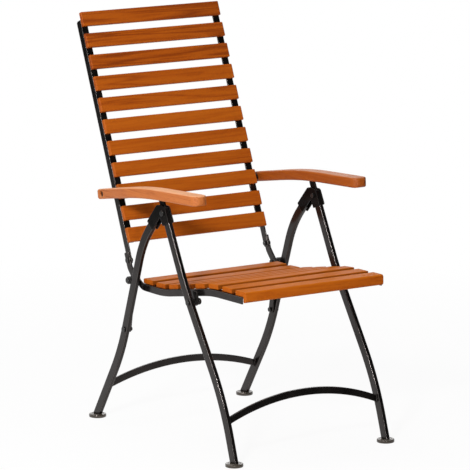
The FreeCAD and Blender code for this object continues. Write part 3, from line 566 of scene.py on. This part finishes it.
def oiled_wood(
    name, seed, along=0.0, sheen=WOOD_SHEEN, polish=0.0, pale=WOOD_PALE, warm=WOOD_WARM, lit_top=None,
    top_shade=0.0, gap_shade=0.0,
):
    """Wood from a board of its own, with its grain turned about the upright, that may have painted light on
    its tops, painted shade on its edges in the gaps, and painted shade over the whole board.
    """
    material, tree, shader, surface = new_finish(name)
    where = surface["Object"]
    facing = surface["Normal"]
    turned = place(tree, "ShaderNodeMapping", {"Vector": where, "Rotation": (0.0, 0.0, along)}).outputs[0]
    # A board given painted shade is made warmer and darker as a whole.
    tone = TONE_LEAST + TONE_SPREAD * (seed * TONE_STEP % 1.0) - top_shade
    board = use(
        tree, grain, Place=turned, Seed=seed * BOARD_STEP, Tone=tone, Pale=pale, Warm=warm, Deep=WOOD_DEEP,
    )
    rubbed = use(tree, edges, Place=where, Width=WOOD_RUB_WIDTH)
    rub = calc(tree, "MULTIPLY", rubbed["Mask"], WOOD_RUB_SHARE)
    colour = blend(tree, rub, board["Color"], WOOD_WORN)
    # Painted shade on the edges that face across the gaps.
    if gap_shade:
        gap_darkening = use(tree, gap_shading, Place=where, Facing=facing, Seed=seed, Share=gap_shade)
        colour = blend(tree, gap_darkening["Mask"], colour, GAP_PAINTED_SHADE)
    # Painted light on the faces that look up.
    if lit_top:
        top_light = use(tree, lit_tops, Place=where, Facing=facing, Seed=seed)
        colour = blend(tree, top_light["Mask"], colour, lit_top)
    tree.links.new(colour, shader.inputs["Base Color"])
    tree.links.new(board["Roughness"], shader.inputs["Roughness"])
    shader.inputs["Specular IOR Level"].default_value = sheen
    shader.inputs["Coat Weight"].default_value = polish
    shader.inputs["Coat Roughness"].default_value = POLISH_ROUGHNESS
    raise_surface(tree, shader, board["Height"], WOOD_RELIEF, GRAIN_DEPTH, rubbed["Rounded"])
    return material


seat_slats = sorted(name for name in chair if name.startswith("seat_slat_"))
for number, name in enumerate(seat_slats, start=1):
    # Every seat slat but the first gets painted shade on its edges in the gaps.
    gap_shade = SLAT_GAP_SHADE if number > 1 else 0.0
    dress(oiled_wood("wood_" + name, number, sheen=SLAT_SHEEN, lit_top=SLAT_LIT_TOP, gap_shade=gap_shade), name)

# Screws. Countersunk steel screws hold the slats of the seat and of the back from behind.
# They are zinc plated, and the plating is a dull blue-white with a fine spangle.
ZINC_BRIGHT = (0.560, 0.570, 0.580, 1)
ZINC_DULL = (0.330, 0.330, 0.325, 1)
ZINC_RELIEF = 0.08
ZINC_DEPTH = 0.0002


def zinc():
    """Zinc plate with a spangle in its colour and gloss."""
    material, tree, shader, surface = new_finish("zinc_plate")
    where = surface["Object"]
    spangle = ease(tree, mottle(tree, where, scale=260.0), low=0.35, high=0.65)
    tree.links.new(blend(tree, spangle, ZINC_BRIGHT, ZINC_DULL), shader.inputs["Base Color"])
    tree.links.new(ease(tree, spangle, 0.0, 1.0, start=0.28, end=0.5), shader.inputs["Roughness"])
    shader.inputs["Metallic"].default_value = 1.0
    raise_surface(tree, shader, mottle(tree, where, scale=900.0, detail=2.0), ZINC_RELIEF, ZINC_DEPTH)
    return material


dress(zinc(), "seat_screws", "back_screws")

# Back rails and straps. Two steel angles stand up behind the slats, rounded at the top, and a cranked strap
# bolted to the foot of each one hangs it on the axle.
dress(frame_paint, *both("back_rail", "back_strap"))
dress(black_bolt, "strap_bolts")

# Back slats. Eleven flat slats of the same oiled hardwood are screwed to the rails from behind.
# The upper ones are painted warmer, darker and more streaked, as painted shade where less light reaches the
# top.
# Painted shade: how much darker a back slat is made, growing above this height.
TOP_SHADE_MOST = 0.30
TOP_SHADE_FROM = 0.80
TOP_SHADE_SPAN = 0.30

back_slats = sorted(name for name in chair if name.startswith("back_slat_"))
for number, name in enumerate(back_slats, start=len(seat_slats) + 1):
    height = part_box(name)[1].z
    top_shade = max(0.0, TOP_SHADE_MOST * (height - TOP_SHADE_FROM) / TOP_SHADE_SPAN)
    dress(oiled_wood("wood_" + name, number, top_shade=top_shade), name)

# Armrests. Each is sawn from one board in a shallow bow, wider towards the hand and rounded over its edges,
# and turns on a bolt in a bored recess. A notched steel rack in its underside rests on the lug.
# The right armrest's colours are painted paler as painted light and the left one's darker as painted shade,
# and both are painted paler still on their tops as painted light; hands have polished both.
HAND_SHEEN = 0.25
HAND_POLISH = 0.06
FIRST_BOARD = 31
# Painted light and shade: the right armrest gets a lit copy of the wood, the left a shaded copy, and the
# third colour of each is painted light on its top.
ARM_LIT_AND_SHADED = {
    "right": ((0.500, 0.156, 0.036, 1), (0.395, 0.104, 0.022, 1), (0.900, 0.480, 0.250, 1)),
    "left": ((0.325, 0.072, 0.0035, 1), (0.240, 0.042, 0.0013, 1), (0.450, 0.140, 0.028, 1)),
}

for number, side in enumerate(SIDES, start=FIRST_BOARD):
    board_wood = oiled_wood(
        "wood_armrest_" + side, number, math.pi / 2, HAND_SHEEN, HAND_POLISH, *ARM_LIT_AND_SHADED[side],
    )
    dress(board_wood, "armrest_" + side)
dress(frame_paint, *both("rack"))
dress(black_bolt, *both("arm_bolt"))

# Room. A plain white paper sweep makes the floor and the back, with the dim studio in front and beside it.
# The main soft lamp stands at the left front, with a weaker one by the camera and a large one overhead.
# Small ones at the left, low behind and in a strip fill in.
FLOOR_REACH = 30.0
FLOOR_PARTS = 8
FLOOR_GREY = (0.80, 0.80, 0.80, 1)
FLOOR_SOILED = (0.76, 0.76, 0.76, 1)
FLOOR_ROUGHNESS = 0.9
FLOOR_WHITE = 0.93
SHADOW_REACH = 0.8
SHADOW_END = 2.4
SWEEP_HALF = 1.36
SWEEP_FADE = 1.0
SWEEP_FRONT = -0.7
SWEEP_FULL = -0.3
DIM = 0.02
SURROUND = 0.15
BACK_FROM = -0.3
BACK_FULL = 0.4
MIDDLE = (0.0, 0.0, 0.55)
LAMPS = (
    ("lamp_main", (-3.5, -2.85, 2.7), 0.6, 0.6, 190),
    ("lamp_by_camera", (-2.0, -4.3, 1.2), 0.6, 0.6, 34),
    ("lamp_side_left", (-3.2, 0.5, 1.2), 1.4, 1.4, 8),
    ("lamp_overhead", (0.0, 1.2, 4.2), 2.8, 2.8, 84),
    ("lamp_strip", (-2.4, -1.2, 1.6), 0.4, 1.4, 12),
    ("lamp_behind", (2.7, 4.0, 1.6), 1.5, 1.0, 8),
)


def mirrored_views(tree, path):
    """Which rays show the room in something shiny."""
    return calc(tree, "MAXIMUM", path["Is Glossy Ray"], path["Is Transmission Ray"])


def lay_floor():
    """White to the camera with a little of its own shading, and a lit grey for the light it throws back."""
    material, tree, shader, surface = new_finish("floor_white")
    where = surface["Object"]
    shade = ease(tree, mottle(tree, where, scale=3.0), 0.0, 1.0, start=0.97)
    tree.links.new(blend(tree, shade, FLOOR_SOILED, FLOOR_GREY), shader.inputs["Base Color"])
    shader.inputs["Roughness"].default_value = FLOOR_ROUGHNESS
    shader.inputs["Specular IOR Level"].default_value = 0.0
    across = calc(tree, "ABSOLUTE", one_way(tree, where, "X"))
    inside = ease(tree, across, low=SWEEP_HALF + SWEEP_FADE, high=SWEEP_HALF)
    deep = ease(tree, one_way(tree, where, "Y"), low=SWEEP_FRONT, high=SWEEP_FULL)
    sweep = calc(tree, "MULTIPLY", inside, deep)
    path = place(tree, "ShaderNodeLightPath").outputs
    seen = path["Is Camera Ray"]
    level = calc(tree, "MAXIMUM", seen, ease(tree, sweep, 0.0, 1.0, start=DIM))
    white = place(tree, "ShaderNodeEmission", {"Strength": level})
    away = place(tree, "ShaderNodeVectorMath", {0: where}, operation="LENGTH").outputs["Value"]
    shown = ease(tree, away, low=SHADOW_REACH, high=SHADOW_END, start=FLOOR_WHITE)
    share = calc(tree, "MAXIMUM", calc(tree, "MULTIPLY", seen, shown), mirrored_views(tree, path))
    mixed = place(tree, "ShaderNodeMixShader", {0: share, 1: shader.outputs[0], 2: white.outputs[0]})
    tree.links.new(mixed.outputs[0], tree.nodes["Material Output"].inputs["Surface"])
    mesh = bmesh.new()
    bmesh.ops.create_grid(mesh, x_segments=FLOOR_PARTS, y_segments=FLOOR_PARTS, size=FLOOR_REACH)
    floor = new_piece("floor", mesh, material)


def surround():
    """White to the camera and in mirrored views to the back, and a soft grey for falling light."""
    world = bpy.data.worlds.new("surround")
    world.use_nodes = True
    tree = world.node_tree
    way = place(tree, "ShaderNodeTexCoord").outputs["Generated"]
    path = place(tree, "ShaderNodeLightPath").outputs
    back = ease(tree, one_way(tree, way, "Y"), low=BACK_FROM, high=BACK_FULL, start=DIM)
    mirrored = calc(tree, "MULTIPLY", mirrored_views(tree, path), back)
    falling = calc(tree, "MULTIPLY", path["Is Diffuse Ray"], SURROUND)
    shown = calc(tree, "MAXIMUM", path["Is Camera Ray"], mirrored)
    strength = calc(tree, "MAXIMUM", shown, falling)
    tree.links.new(strength, tree.nodes["Background"].inputs["Strength"])
    tree.nodes["Background"].inputs["Color"].default_value = (1, 1, 1, 1)
    bpy.context.scene.world = world


def soft_lamp(name, spot, wide, tall, power):
    """A soft box that looks at the middle of the chair."""
    data = bpy.data.lights.new(name, "AREA")
    data.shape = "RECTANGLE"
    data.size = wide
    data.size_y = tall
    data.energy = power
    lamp = bpy.data.objects.new(name, data)
    lamp.location = spot
    lamp.rotation_euler = (Vector(MIDDLE) - Vector(spot)).to_track_quat("-Z", "Y").to_euler()
    lamp.visible_camera = False
    bpy.context.scene.collection.objects.link(lamp)


lay_floor()
surround()
for lamp_row in LAMPS:
    soft_lamp(*lamp_row)

# Camera. It stands to the sitter's right, a little above the seat, and looks slightly down.
# It is far off and has a long lens, so that the chair is hardly foreshortened.
CAMERA_SPOT = (-5.465, -8.209, 2.374)
CAMERA_AIM = (0.5459, 0.8173, -0.1843)
LENS = 286.3
SENSOR = 36.0
FARTHEST = 200.0

lens = bpy.data.cameras.new("camera")
lens.sensor_width = SENSOR
lens.lens = LENS
lens.clip_end = FARTHEST
camera = bpy.data.objects.new("camera", lens)
camera.location = CAMERA_SPOT
camera.rotation_euler = Vector(CAMERA_AIM).to_track_quat("-Z", "Y").to_euler()
bpy.context.scene.collection.objects.link(camera)
bpy.context.scene.camera = camera
bpy.context.scene.view_settings.view_transform = "Standard"
